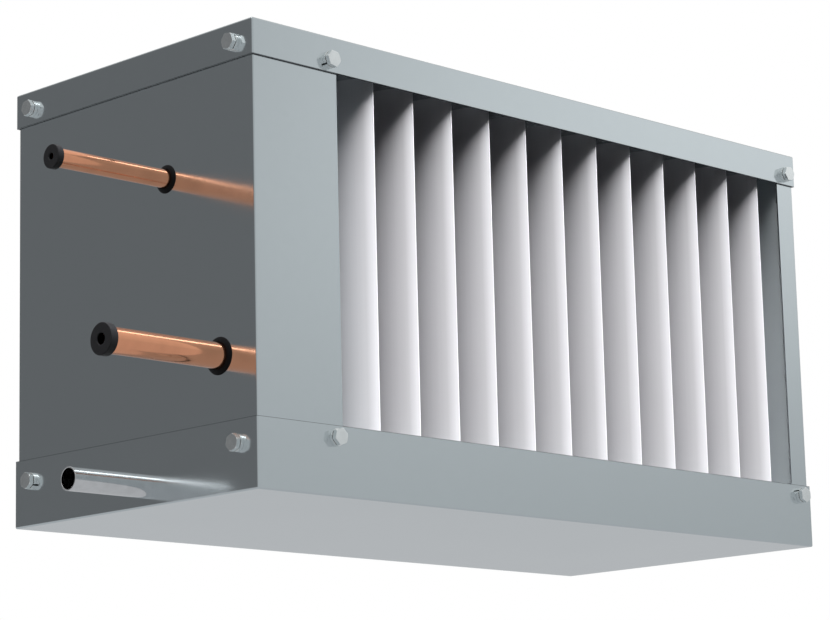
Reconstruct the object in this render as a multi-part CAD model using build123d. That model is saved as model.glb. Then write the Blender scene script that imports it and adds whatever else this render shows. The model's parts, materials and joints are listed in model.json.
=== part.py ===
from build123d import *
import math
import os

# Duct cooling coil for a rectangular duct, in millimetres.
# Origin: centre of the drain tray's underside. +Z is up, the outlet with its
# drop eliminator faces -Y, and the pipe connections stand out on the -X side.

# Clear air opening, the same at the outlet and at the inlet
duct_width = 600.0
duct_height = 300.0

# Casing
casing_depth = 316.0
cover_skirt = 31.0
tray_skirt = 59.0
connection_flange = 94.0
blank_flange = 24.0
shell_sheet = 1.5
panel_sheet = 1.2
skirt_gap = 0.6
shell_bend_radius = 1.5
panel_bend_radius = 1.2
panel_lap_in_tray = 30.0

# Duct fixings: one M8 bolt at each corner of the duct flange
flange_bolt_margin = 10.0
side_bolt_edge = 23.5
cover_side_bolt_drop = 17.0
tray_side_bolt_height = 39.5
bolt_thread_radius = 3.95
bolt_length = 20.0
bolt_head_flats = 13.0
bolt_head_height = 5.3
bolt_head_chamfer = 0.6
washer_radius = 7.4
washer_thickness = 2.0
washer_split = 1.2
shell_hole_radius = 4.5
bolt_turn_step = 17.0
washer_turn_step = 73.0
rivet_nut_bore = 4.0
open_nut_bore = 3.4
rivet_nut_radius = 5.5
rivet_nut_flange_radius = 6.2
rivet_nut_flange = 0.5
rivet_nut_length = 15.5

# Clearances between pieces of the fixed assembly and at the sliding caps
stack_gap = 0.1
sheet_gap = 0.2
slip_gap = 0.05

# Coil block: staggered rows of tubes through flat fins
row_count = 3
tube_pitch = 25.0
row_pitch = 21.65
tube_radius = 4.76
tube_wall = 0.4
coil_front_depth = 88.0
coil_top_clearance = 0.75
fin_pitch = 10.0
fin_thickness = 0.5
fin_end_space = 4.0
plate_sheet = 1.5
plate_setback = 1.0
plate_lip = 15.0
plate_floor_gap = 6.0
channel_sheet = 1.2
channel_overlap = 1.5
return_side_overhang = 1.0
header_side_overhang = 6.0

# Drop eliminator
blade_sheet = 1.2
blade_pitch = 47.8
blade_radius = 73.0
blade_outlet_angle = 38.0
blade_inlet_angle = 23.0
blade_bead_radius = 1.6
first_blade_offset = 46.8
last_blade_space = 20.0
blade_tongue = 3.0
blade_slot_gap = 0.2

# Drain slots in the feet of the channels that stand in the tray
drain_slot_width = 40.0
drain_slot_height = 8.0
drain_slot_pitch = 100.0

# Suction pipe, header and outlet branches
suction_radius = 11.0
suction_wall = 1.2
suction_front_distance = 47.5
suction_height = 114.0
suction_reach = 118.8
header_radius = 14.0
header_wall = 1.2
header_side_distance = 51.0
header_end_space = 15.0
header_cap_thickness = 2.0
branch_bend_radius = 15.0

# Liquid pipe, distributor and feed tubes
liquid_radius = 8.0
liquid_wall = 1.0
liquid_front_distance = 112.4
liquid_height = 274.3
liquid_reach = 117.8
distributor_radius = 11.0
distributor_length = 22.0
distributor_nose = 5.0
distributor_nose_radius = 9.0
distributor_side_distance = 9.0
distributor_socket = 6.0
feed_radius = 2.0
feed_bore = 1.2
feed_circle_radius = 6.0
feed_socket = 4.0
feed_first_run = 8.0
feed_plane_pitch = 5.0
feed_bend_radius = 6.0

# Rubber grommets where the pipes leave the side panel
grommet_rim = 2.0
grommet_neck = 2.0
groove_depth = 0.2
groove_side_gap = 0.2
liquid_grommet_radius = 12.4
suction_grommet_radius = 16.0

# Rubber caps that keep the pipe ends clean until they are joined; each end is turned down to take one
pipe_end_step = 0.2
liquid_cap_radius = 10.2
liquid_cap_length = 6.0
liquid_cap_end = 1.5
liquid_cap_hole = 2.8
suction_cap_radius = 13.3
suction_cap_length = 7.4
suction_cap_end = 1.8
suction_cap_hole = 4.8
cap_edge_radius = 0.7
cap_mouth_gap = 0.2

# Drain pipe
drain_radius = 10.0
drain_wall = 1.2
drain_front_distance = 136.7
drain_height = 17.0
drain_reach = 83.0
drain_spigot_radius = 9.4
drain_inner_length = 4.0

# Planes of the casing that the sizes above lead to
skirt_inset = shell_sheet + skirt_gap
casing_width = connection_flange + duct_width + blank_flange + 2 * skirt_inset
casing_height = tray_skirt + duct_height + cover_skirt
right_plane = casing_width / 2
left_plane = -right_plane
rear_plane = casing_depth / 2
front_plane = -rear_plane
body_left = left_plane + skirt_inset
body_right = right_plane - skirt_inset
body_front = front_plane + skirt_inset
body_rear = rear_plane - skirt_inset
opening_left = body_left + connection_flange
opening_right = body_right - blank_flange
opening_bottom = tray_skirt
opening_top = tray_skirt + duct_height
opening_centre_x = (opening_left + opening_right) / 2
opening_centre_z = (opening_bottom + opening_top) / 2
tray_floor = shell_sheet
cover_ceiling = casing_height - shell_sheet

# Faces that look into the air path
air_left = opening_left - plate_setback
air_right = opening_right + plate_setback
plate_left_back = air_left - plate_sheet
plate_right_back = air_right + plate_sheet

# Coil block; the second row stands half a pitch higher than its neighbours
tubes_high = 2 * int(duct_height / tube_pitch / 2)
fin_height = (tubes_high + 0.5) * tube_pitch
fin_bottom = opening_centre_z - fin_height / 2
fin_top = fin_bottom + fin_height
coil_depth = row_count * row_pitch
coil_front = front_plane + coil_front_depth
coil_rear = coil_front + coil_depth
channel_bottom = fin_bottom - coil_top_clearance
channel_top = fin_top + coil_top_clearance
circuit_count = tubes_high // 2
tube_left_end = plate_left_back - header_side_overhang
tube_right_end = plate_right_back + return_side_overhang

# Drop eliminator
rail_front = body_front + panel_sheet + sheet_gap
blade_front = rail_front + channel_sheet + sheet_gap + blade_bead_radius
blade_turn_depth = blade_radius * math.sin(math.radians(blade_outlet_angle))
blade_tail_depth = blade_radius * math.sin(math.radians(blade_inlet_angle))
blade_rear = blade_front + blade_turn_depth + blade_tail_depth
blade_span = duct_width - first_blade_offset - last_blade_space
blade_count = int(blade_span / blade_pitch) + 1
rail_rear = blade_rear + blade_bead_radius + sheet_gap + channel_sheet

# Pipe connections
suction_y = front_plane + suction_front_distance
liquid_y = front_plane + liquid_front_distance
drain_y = front_plane + drain_front_distance
suction_end = left_plane - suction_reach
liquid_end = left_plane - liquid_reach
drain_end = left_plane - drain_reach
header_x = left_plane + header_side_distance
distributor_back = left_plane + distributor_side_distance
distributor_face = distributor_back + distributor_length


def block(x_low, x_high, y_low, y_high, z_low, z_high):
    """Box between two corners."""
    box = Box(x_high - x_low, y_high - y_low, z_high - z_low, align=(Align.MIN, Align.MIN, Align.MIN))
    return Pos(x_low, y_low, z_low) * box


def rod(start, end, radius):
    """Round bar between two points."""
    run = Vector(*end) - Vector(*start)
    return extrude(Plane(origin=start, z_dir=run) * Circle(radius), run.length)


def tube(start, end, outer_radius, inner_radius):
    """Straight round tube between two points."""
    return rod(start, end, outer_radius) - rod(start, end, inner_radius)


def bent_tube(points, bend_radius, outer_radius, inner_radius):
    """Round tube along straight runs that are joined by equal bends."""
    path = FilletPolyline(*points, radius=bend_radius)
    section = Plane(origin=path @ 0, z_dir=path % 0)
    return sweep(section * Circle(outer_radius), path) - sweep(section * Circle(inner_radius), path)


def save(node, pieces):
    """Write one node, which may be a group of separate solids."""
    shapes = pieces if isinstance(pieces, list) else [pieces]
    solids = [solid for shape in shapes for solid in shape.solids()]
    export_step(solids[0] if len(solids) == 1 else Compound(solids), f"parts/{node}.step")


# Bolt sites: each is a plane on the shell's outer face, with its normal outwards
def flange_sites(side):
    """Corner bolts of the duct flange at the outlet (-1) or the inlet (+1)."""
    half_x = duct_width / 2 + flange_bolt_margin
    half_z = duct_height / 2 + flange_bolt_margin
    corners = [(x, z) for z in (-half_z, half_z) for x in (-half_x, half_x)]
    return [
        Plane(
            origin=(opening_centre_x + x, side * rear_plane, opening_centre_z + z),
            x_dir=(1, 0, 0),
            z_dir=(0, side, 0),
        )
        for x, z in corners
    ]


def side_sites(side):
    """Bolts that hold the cover and the tray to the left (-1) or right (+1) panel."""
    half_y = rear_plane - side_bolt_edge
    heights = (tray_side_bolt_height, casing_height - cover_side_bolt_drop)
    return [
        Plane(origin=(side * right_plane, y, z), x_dir=(0, 1, 0), z_dir=(side, 0, 0))
        for z in heights
        for y in (-half_y, half_y)
    ]


def axis_rod(low, high, radius):
    """Round bar on the local Z axis, between two heights."""
    return Pos(0, 0, low) * Cylinder(radius, high - low, align=(Align.CENTER, Align.CENTER, Align.MIN))


def lock_washer(turn):
    """Spring washer on the shell's face, with its split turned to an angle."""
    ring = axis_rod(0, washer_thickness, washer_radius)
    ring -= axis_rod(0, washer_thickness, bolt_thread_radius + slip_gap)
    split = Box(2 * washer_radius, washer_split, washer_thickness)
    return ring - Rot(0, 0, turn) * Pos(washer_radius, 0, washer_thickness / 2) * split


def hexagon_bolt(turn):
    """Hexagon bolt whose head stands on its washer."""
    corner_radius = bolt_head_flats / math.sqrt(3)
    head_top = washer_thickness + bolt_head_height
    hexagon = Pos(0, 0, washer_thickness) * Rot(0, 0, turn) * RegularPolygon(corner_radius, 6)
    head = extrude(hexagon, bolt_head_height)
    crown = axis_rod(washer_thickness, head_top, corner_radius)
    crown = chamfer(crown.edges().sort_by(Axis.Z)[-1], bolt_head_chamfer)
    shank = axis_rod(washer_thickness - bolt_length, washer_thickness, bolt_thread_radius)
    return (head & crown) + shank


def rivet_nut(bore_radius):
    """Blind rivet nut set in the side panel behind the skirt."""
    base = -skirt_inset - rivet_nut_length
    rim = -skirt_inset + rivet_nut_flange
    body = axis_rod(base, -skirt_inset, rivet_nut_radius)
    body += axis_rod(-skirt_inset, rim, rivet_nut_flange_radius)
    return body - axis_rod(base, rim, bore_radius)


def shell_holes():
    """Bolt holes through the skirts of the cover and the tray."""
    sites = flange_sites(-1) + flange_sites(1) + side_sites(-1) + side_sites(1)
    return [site.location * axis_rod(-2 * shell_sheet, shell_sheet, shell_hole_radius) for site in sites]


def panel_holes(sites):
    """Holes for the rivet nuts."""
    reach = skirt_inset + 2 * panel_sheet
    return [site.location * axis_rod(-reach, 0, rivet_nut_radius + slip_gap) for site in sites]


# Casing
def pan(z_low, z_high, hollow_low, hollow_high, closed_side):
    """Folded pan with four skirts; closed_side is 0 for a floor and -1 for a lid."""
    outer = block(left_plane, right_plane, front_plane, rear_plane, z_low, z_high)
    folds = outer.faces().sort_by(Axis.Z)[closed_side].edges() + outer.edges().filter_by(Axis.Z)
    hollow = block(
        left_plane + shell_sheet,
        right_plane - shell_sheet,
        front_plane + shell_sheet,
        rear_plane - shell_sheet,
        hollow_low,
        hollow_high,
    )
    return fillet(folds, shell_bend_radius) - hollow


def top_cover():
    return pan(opening_top, casing_height, opening_top, cover_ceiling, -1) - shell_holes()


def drain_tray():
    drain_hole = rod(
        (left_plane - shell_sheet, drain_y, drain_height),
        (left_plane + 2 * shell_sheet, drain_y, drain_height),
        drain_spigot_radius + slip_gap,
    )
    return pan(0, tray_skirt, tray_floor, tray_skirt, 0) - shell_holes() - drain_hole


def side_panel(outer_x, inner_x, lip_x):
    """Folded side panel: a web with a flange along each duct face."""
    z_low = tray_skirt - panel_lap_in_tray
    z_high = cover_ceiling - skirt_gap
    x_low, x_high = sorted((outer_x, lip_x))
    outer = block(x_low, x_high, body_front, body_rear, z_low, z_high)
    upright = outer.edges().filter_by(Axis.Z)
    folds = upright.filter_by_position(Axis.X, outer_x - stack_gap, outer_x + stack_gap)
    x_low, x_high = sorted((inner_x, lip_x))
    hollow = block(x_low, x_high, body_front + panel_sheet, body_rear - panel_sheet, z_low, z_high)
    return fillet(folds, panel_bend_radius) - hollow


def left_side_panel():
    panel = side_panel(body_left, body_left + panel_sheet, opening_left)
    pipes = (
        (suction_y, suction_height, suction_radius),
        (liquid_y, liquid_height, liquid_radius),
    )
    for y, z, radius in pipes:
        hole_radius = radius + grommet_neck + slip_gap
        panel -= rod((left_plane, y, z), (body_left + 2 * panel_sheet, y, z), hole_radius)
    return panel - panel_holes(flange_sites(-1) + flange_sites(1) + side_sites(-1))


def right_side_panel():
    panel = side_panel(body_right, body_right - panel_sheet, opening_right)
    return panel - panel_holes(flange_sites(-1) + flange_sites(1) + side_sites(1))


# Coil block
def tube_height(row, level):
    """Height of a tube; every second row is raised by half a pitch."""
    return fin_bottom + tube_pitch / 2 * (1 + row % 2) + tube_pitch * level


def tube_depth(row):
    return coil_front + row_pitch * (row + 0.5)


def tube_places():
    """Depth and height of every tube."""
    levels = range(tubes_high)
    return [(tube_depth(row), tube_height(row, level)) for row in range(row_count) for level in levels]


def tube_bores(x_low, x_high, clearance):
    """Bars that cut the tube pattern through a plate or a fin."""
    return [rod((x_low, y, z), (x_high, y, z), tube_radius + clearance) for y, z in tube_places()]


def tube_plate(air_x, back_x, side):
    """Plate that carries the tubes and closes the air path; its lips meet the panel's flanges."""
    x_low, x_high = sorted((air_x, back_x))
    y_low = body_front + panel_sheet + stack_gap
    y_high = body_rear - panel_sheet - stack_gap
    plate = block(x_low, x_high, y_low, y_high, tray_floor + plate_floor_gap, cover_ceiling - sheet_gap)
    plate -= tube_bores(x_low, x_high, stack_gap)
    x_low, x_high = sorted((back_x, back_x + side * plate_lip))
    for lip_low, lip_high in ((y_low, y_low + plate_sheet), (y_high - plate_sheet, y_high)):
        plate += block(x_low, x_high, lip_low, lip_high, opening_bottom, opening_top)
    return plate


def fin_pack():
    """Flat fins with a collared hole for every tube."""
    fin = block(0, fin_thickness, coil_front, coil_rear, fin_bottom, fin_top)
    fin -= tube_bores(-fin_thickness, 2 * fin_thickness, slip_gap)
    first_x = air_left + fin_end_space
    span = air_right - fin_end_space - fin_thickness - first_x
    fin_count = int(span / fin_pitch) + 1
    first_x += (span - (fin_count - 1) * fin_pitch) / 2
    return [Pos(first_x + fin_pitch * index, 0, 0) * fin for index in range(fin_count)]


def coil_tubes():
    inner = tube_radius - tube_wall
    ends = [((tube_left_end, y, z), (tube_right_end, y, z)) for y, z in tube_places()]
    return [tube(start, finish, tube_radius, inner) for start, finish in ends]


def return_bend(end_x, side, first, second):
    """Half ring that joins two neighbouring tube ends, each given as (row, level)."""
    start = Vector(end_x, tube_depth(first[0]), tube_height(*first))
    finish = Vector(end_x, tube_depth(second[0]), tube_height(*second))
    middle = (start + finish) / 2
    across = (finish - start).normalized()
    ring_plane = Plane(origin=middle, x_dir=across, z_dir=(side, 0, 0))
    radius = (finish - start).length / 2
    section = ring_plane * Pos(radius, 0, 0) * (Circle(tube_radius) - Circle(tube_radius - tube_wall))
    turn_axis = Axis(middle, across.cross(Vector(side, 0, 0)))
    return revolve(section, turn_axis, 180)


def right_return_bends():
    return [
        return_bend(tube_right_end, 1, (row, 2 * circuit), (row, 2 * circuit + 1))
        for row in range(row_count)
        for circuit in range(circuit_count)
    ]


def left_return_bends():
    """Each circuit climbs from row to row, once at its upper and once at its lower tube."""
    bends = []
    for circuit in range(circuit_count):
        for row in range(row_count - 1, 0, -1):
            level = 2 * circuit + (row_count - row) % 2
            bends.append(return_bend(tube_left_end, -1, (row, level), (row - 1, level)))
    return bends


def channel(y_low, y_high, web_z, foot_z):
    """Folded channel across the air path, with its web against the coil or the blades."""
    side = 1 if foot_z > web_z else -1
    x_low = air_left + sheet_gap
    x_high = air_right - sheet_gap
    shape = block(x_low, x_high, y_low, y_high, min(web_z, foot_z), max(web_z, foot_z))
    hollow_z = sorted((web_z + side * channel_sheet, foot_z))
    return shape - block(x_low, x_high, y_low + channel_sheet, y_high - channel_sheet, *hollow_z)


def with_drain_slots(shape, y_low, y_high):
    """Cut slots for the water along the feet of a channel that stands in the tray."""
    slot_count = int((air_right - air_left) / drain_slot_pitch)
    for index in range(slot_count):
        x = (air_left + air_right) / 2 + (index - (slot_count - 1) / 2) * drain_slot_pitch
        low, high = x - drain_slot_width / 2, x + drain_slot_width / 2
        shape -= block(low, high, y_low, y_high, tray_floor, tray_floor + drain_slot_height)
    return shape


def coil_channel_top():
    y_low = coil_front - channel_overlap
    y_high = coil_rear + channel_overlap
    return channel(y_low, y_high, channel_top, cover_ceiling - sheet_gap)


def coil_channel_bottom():
    y_low = coil_front - channel_overlap
    y_high = coil_rear + channel_overlap
    return with_drain_slots(channel(y_low, y_high, channel_bottom, tray_floor + sheet_gap), y_low, y_high)


# Drop eliminator
def blade_x(index):
    """Place of a blade's front edge."""
    return opening_left + first_blade_offset + index * blade_pitch


def blade_profile(grow):
    """Section of a blade seen from above, with its front edge at the origin of X."""
    outlet = math.radians(blade_outlet_angle)
    inlet = math.radians(blade_inlet_angle)
    centre_x = blade_radius * math.cos(outlet)
    centre_y = blade_front + blade_turn_depth

    def on_arc(angle):
        return (centre_x - blade_radius * math.cos(angle), centre_y + blade_radius * math.sin(angle))

    curve = ThreePointArc(on_arc(-outlet), on_arc((inlet - outlet) / 2), on_arc(inlet))
    profile = trace(curve, blade_sheet + 2 * grow)
    for angle in (-outlet, inlet):
        profile += Pos(*on_arc(angle)) * Circle(blade_bead_radius + grow)
    return profile


def blade_prism(grow, z_low, z_high):
    return extrude(Pos(0, 0, z_low) * blade_profile(grow), z_high - z_low)


def eliminator_blade(index):
    bottom = channel_bottom - channel_sheet - blade_tongue
    top = channel_top + channel_sheet + blade_tongue
    return Pos(blade_x(index), 0, 0) * blade_prism(0, bottom, top)


def rail(web_z, foot_z):
    """Channel with one curved slot for each blade."""
    shape = channel(rail_front, rail_rear, web_z, foot_z)
    slot = blade_prism(blade_slot_gap, web_z - 2 * channel_sheet, web_z + 2 * channel_sheet)
    return shape - [Pos(blade_x(index), 0, 0) * slot for index in range(blade_count)]


def eliminator_rail_bottom():
    return with_drain_slots(rail(channel_bottom, tray_floor + sheet_gap), rail_front, rail_rear)


def eliminator_rail_top():
    return rail(channel_top, cover_ceiling - sheet_gap)


# Suction side: every circuit ends in the front row
def outlet_heights():
    return [tube_height(0, 2 * circuit + 1) for circuit in range(circuit_count)]


def suction_branches():
    """Bent tubes from the front row's outlets into the header."""
    y = tube_depth(0)
    inner = tube_radius - tube_wall
    bore_y = suction_y + header_radius - header_wall
    routes = [[(tube_left_end, y, z), (header_x, y, z), (header_x, bore_y, z)] for z in outlet_heights()]
    return [bent_tube(route, branch_bend_radius, tube_radius, inner) for route in routes]


def suction_header():
    z_low = outlet_heights()[0] - header_end_space
    z_high = outlet_heights()[-1] + header_end_space
    low, high = (header_x, suction_y, z_low), (header_x, suction_y, z_high)
    header = tube(low, high, header_radius, header_radius - header_wall)
    for z in outlet_heights():
        branch_end = (header_x, suction_y + 2 * header_radius, z)
        header -= rod((header_x, suction_y, z), branch_end, tube_radius + slip_gap)
    pipe_start = (header_x - 2 * header_radius, suction_y, suction_height)
    return header - rod(pipe_start, (header_x, suction_y, suction_height), suction_radius + slip_gap)


def header_end_caps():
    z_low = outlet_heights()[0] - header_end_space
    z_high = outlet_heights()[-1] + header_end_space
    radius = header_radius - header_wall - slip_gap
    return [
        rod((header_x, suction_y, z_low), (header_x, suction_y, z_low + header_cap_thickness), radius),
        rod((header_x, suction_y, z_high - header_cap_thickness), (header_x, suction_y, z_high), radius),
    ]


def connection_pipe(end_x, finish_x, y, z, radius, wall, cap_cover):
    """Pipe with a turned end under its cap and a shallow groove under its grommet."""
    groove_start = body_left - grommet_rim - groove_side_gap
    groove_end = body_left + panel_sheet + grommet_rim + groove_side_gap
    end_length = cap_cover + cap_mouth_gap
    shape = rod((end_x, y, z), (end_x + end_length, y, z), radius - pipe_end_step)
    shape += rod((end_x + end_length, y, z), (groove_start, y, z), radius)
    shape += rod((groove_start, y, z), (groove_end, y, z), radius - groove_depth)
    shape += rod((groove_end, y, z), (finish_x, y, z), radius)
    return shape - rod((end_x, y, z), (finish_x, y, z), radius - wall)


def suction_pipe():
    """Straight pipe whose inner end is cut to the header's bore."""
    low = (header_x, suction_y, suction_height - 2 * suction_radius)
    high = (header_x, suction_y, suction_height + 2 * suction_radius)
    place = (suction_end, header_x, suction_y, suction_height)
    cap_cover = suction_cap_length - suction_cap_end - stack_gap
    pipe = connection_pipe(*place, suction_radius, suction_wall, cap_cover)
    return pipe - rod(low, high, header_radius - header_wall)


# Liquid side: every circuit starts in the last row
def liquid_pipe():
    place = (liquid_end, distributor_back + distributor_socket, liquid_y, liquid_height)
    cap_cover = liquid_cap_length - liquid_cap_end - stack_gap
    return connection_pipe(*place, liquid_radius, liquid_wall, cap_cover)


def feed_places():
    """Feed tube starts on the distributor's face and their targets, the farthest target first."""
    starts = []
    for index in range(circuit_count):
        angle = 2 * math.pi * index / circuit_count - math.pi / 2
        y = liquid_y + feed_circle_radius * math.cos(angle)
        starts.append((y, liquid_height + feed_circle_radius * math.sin(angle)))
    starts.sort(key=lambda place: (round(place[1], 3), -place[0]))
    targets = [tube_height(row_count - 1, 2 * circuit) for circuit in range(circuit_count)]
    targets.sort(key=lambda z: -abs(z - liquid_height))
    return [(starts.pop(0 if z < liquid_height else -1), z) for z in targets]


def feed_tubes():
    """Small bent tubes, each in an upright plane of its own."""
    target_y = tube_depth(row_count - 1)
    tubes = []
    for index, ((start_y, start_z), target_z) in enumerate(feed_places()):
        plane_x = distributor_face + feed_first_run + index * feed_plane_pitch
        route = [
            (distributor_face - feed_socket, start_y, start_z),
            (plane_x, start_y, start_z),
            (plane_x, target_y, target_z),
            (tube_left_end, target_y, target_z),
        ]
        tubes.append(bent_tube(route, feed_bend_radius, feed_radius, feed_bore))
    return tubes


def feed_collars():
    """Reducing collars that close the wide tube ends round the feed tubes."""
    y = tube_depth(row_count - 1)
    collar_end = tube_left_end + feed_socket
    radius = tube_radius - tube_wall - slip_gap
    heights = [tube_height(row_count - 1, 2 * circuit) for circuit in range(circuit_count)]
    return [tube((tube_left_end, y, z), (collar_end, y, z), radius, feed_bore) for z in heights]


def liquid_distributor():
    """Turned body with a socket for the pipe and one small socket for each feed tube."""
    inner_end = distributor_face - distributor_nose
    back = (distributor_back, liquid_y, liquid_height)
    socket_end = (distributor_back + distributor_socket, liquid_y, liquid_height)
    body = rod(back, (distributor_face, liquid_y, liquid_height), distributor_radius)
    nose_edge = body.edges().filter_by(GeomType.CIRCLE).sort_by(Axis.X)[-1]
    body = chamfer(nose_edge, distributor_radius - distributor_nose_radius)
    body -= rod(back, socket_end, liquid_radius + slip_gap)
    body -= rod(back, (inner_end, liquid_y, liquid_height), liquid_radius - liquid_wall)
    for (y, z), _ in feed_places():
        body -= rod((distributor_face - feed_socket, y, z), (distributor_face, y, z), feed_radius + slip_gap)
        body -= rod((inner_end - slip_gap, y, z), (distributor_face, y, z), feed_bore)
    return body


# Rubber pieces
def grommet(y, z, pipe_radius, rim_radius):
    """Grooved ring that seats in the side panel's hole and hugs the pipe."""
    outside = body_left - grommet_rim
    inside = body_left + panel_sheet + grommet_rim
    ring = rod((outside, y, z), (body_left - stack_gap / 2, y, z), rim_radius)
    ring = fillet(ring.edges().filter_by(GeomType.CIRCLE).sort_by(Axis.X)[0], grommet_rim / 2)
    ring += rod((body_left - stack_gap / 2, y, z), (inside, y, z), pipe_radius + grommet_neck)
    ring += rod((body_left + panel_sheet + stack_gap / 2, y, z), (inside, y, z), rim_radius)
    return ring - rod((outside, y, z), (inside, y, z), pipe_radius - groove_depth + slip_gap)


def pipe_cap(pipe_end, y, z, pipe_radius, cap_radius, cap_length, cap_end, hole_radius):
    """Cup that slips over the pipe's end, with a vent hole."""
    outer_x = pipe_end - cap_end - stack_gap
    cup = rod((outer_x, y, z), (outer_x + cap_length, y, z), cap_radius)
    cup = fillet(cup.edges().filter_by(GeomType.CIRCLE), cap_edge_radius)
    socket_radius = pipe_radius - pipe_end_step + slip_gap
    cup -= rod((outer_x + cap_end, y, z), (outer_x + cap_length, y, z), socket_radius)
    return cup - rod((outer_x, y, z), (outer_x + cap_length, y, z), hole_radius)


def suction_cap():
    place = (suction_end, suction_y, suction_height, suction_radius)
    return pipe_cap(*place, suction_cap_radius, suction_cap_length, suction_cap_end, suction_cap_hole)


def liquid_cap():
    place = (liquid_end, liquid_y, liquid_height, liquid_radius)
    return pipe_cap(*place, liquid_cap_radius, liquid_cap_length, liquid_cap_end, liquid_cap_hole)


def drain_pipe():
    """Pipe that butts against the tray, with a spigot through the tray's wall."""
    start = (drain_end, drain_y, drain_height)
    shoulder = (left_plane - stack_gap, drain_y, drain_height)
    finish = (left_plane + drain_inner_length, drain_y, drain_height)
    pipe = rod(start, shoulder, drain_radius) + rod(shoulder, finish, drain_spigot_radius)
    return pipe - rod(start, finish, drain_radius - drain_wall)


# Fasteners: groups of identical pieces, turned as they happened to be tightened
def placed(sites, maker, step):
    return [site.location * maker(step * index) for index, site in enumerate(sites, 1)]


def nuts(sites, bore_radius):
    return [site.location * rivet_nut(bore_radius) for site in sites]


os.makedirs("parts", exist_ok=True)

save("top_cover", top_cover())
save("drain_tray", drain_tray())
save("left_side_panel", left_side_panel())
save("right_side_panel", right_side_panel())
save("left_tube_plate", tube_plate(air_left, plate_left_back, -1))
save("right_tube_plate", tube_plate(air_right, plate_right_back, 1))
save("fin_pack", fin_pack())
save("coil_tubes", coil_tubes())
save("right_return_bends", right_return_bends())
save("left_return_bends", left_return_bends())
save("coil_channel_top", coil_channel_top())
save("coil_channel_bottom", coil_channel_bottom())
save("eliminator_rail_top", eliminator_rail_top())
save("eliminator_rail_bottom", eliminator_rail_bottom())
for blade_index in range(blade_count):
    save(f"eliminator_blade_{blade_index + 1:02d}", eliminator_blade(blade_index))
save("suction_pipe", suction_pipe())
save("suction_header", suction_header())
save("header_end_caps", header_end_caps())
save("suction_branches", suction_branches())
save("liquid_pipe", liquid_pipe())
save("liquid_distributor", liquid_distributor())
save("feed_tubes", feed_tubes())
save("feed_collars", feed_collars())
save("suction_grommet", grommet(suction_y, suction_height, suction_radius, suction_grommet_radius))
save("liquid_grommet", grommet(liquid_y, liquid_height, liquid_radius, liquid_grommet_radius))
save("suction_cap", suction_cap())
save("liquid_cap", liquid_cap())
save("drain_pipe", drain_pipe())

bolted_sides = {"front": flange_sites(-1), "left": side_sites(-1), "right": side_sites(1)}
for side_name, sites in bolted_sides.items():
    save(f"{side_name}_bolts", placed(sites, hexagon_bolt, bolt_turn_step))
    save(f"{side_name}_washers", placed(sites, lock_washer, washer_turn_step))
    save(f"{side_name}_rivet_nuts", nuts(sites, rivet_nut_bore))
save("rear_rivet_nuts", nuts(flange_sites(1), open_nut_bore))
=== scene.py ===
import json
import math

import bmesh
import bpy
from mathutils import Matrix, Vector


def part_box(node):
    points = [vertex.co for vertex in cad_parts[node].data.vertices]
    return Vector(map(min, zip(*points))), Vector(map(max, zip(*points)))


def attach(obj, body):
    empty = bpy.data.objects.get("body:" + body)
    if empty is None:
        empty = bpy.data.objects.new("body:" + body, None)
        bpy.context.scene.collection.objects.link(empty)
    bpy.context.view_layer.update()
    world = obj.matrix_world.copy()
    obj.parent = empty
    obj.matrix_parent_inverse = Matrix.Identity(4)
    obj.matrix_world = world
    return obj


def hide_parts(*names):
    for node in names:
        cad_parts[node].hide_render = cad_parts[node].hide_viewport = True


bl_info = {
    "name": "Duct cooling coil",
    "version": (1, 0, 0),
    "blender": (4, 5, 0),
    "location": "3D View > Sidebar > Coil",
    "description": "Dresses the packed duct cooling coil and sets it in a studio",
    "category": "Object",
}

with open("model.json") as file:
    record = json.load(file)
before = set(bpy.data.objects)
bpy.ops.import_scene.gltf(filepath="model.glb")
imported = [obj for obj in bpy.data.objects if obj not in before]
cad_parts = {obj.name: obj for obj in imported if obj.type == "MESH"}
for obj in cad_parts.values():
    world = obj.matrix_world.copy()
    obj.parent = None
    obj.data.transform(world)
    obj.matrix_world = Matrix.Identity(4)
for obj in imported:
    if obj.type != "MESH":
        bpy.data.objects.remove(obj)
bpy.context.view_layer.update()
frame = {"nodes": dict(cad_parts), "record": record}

CASING = "casing"
SMOOTH_ANGLE = math.radians(35)
SHARP_ANGLE = math.radians(40)
MERGE_DISTANCE = 1e-6
PIPE_SEGMENTS = 96
BLADE_STEPS = 28
BLADE_EDGE = 0.0016
BEAD_SEGMENTS = 20
FIN_RIPPLES = 6
CAP_ROUNDING = 0.0007
GROMMET_ROUNDING = 0.0004
BEVEL_OF_BOLT = 0.00012
BOLT_GAP = 0.0004
FINISH_NAMES = {}

# Cut edges of the cover's and the tray's skirts, and how dark the painted shade in the gap beside them is
COVER_EDGE, TRAY_EDGE = 0.359, 0.059
GAP_PAINTED_SHADE = 0.2

# The blades' front edge, and how far behind it the painted light along the edge gives way to painted shade
BLADE_FRONT, BLADE_PAINTED_SHADE_REACH = -0.1531, 0.035

# Camera: its place, and the directions of the picture's right, down and depth
CAMERA_PLACE = (-1.8574, -1.8188, -0.3055)
CAMERA_RIGHT = (0.70670635, -0.70709964, -0.02400489)
CAMERA_DOWN = (0.12219927, 0.15540964, -0.98026281)
CAMERA_AHEAD = (0.69687407, 0.68982457, 0.19623604)
CAMERA_LENS = 123.07

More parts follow.
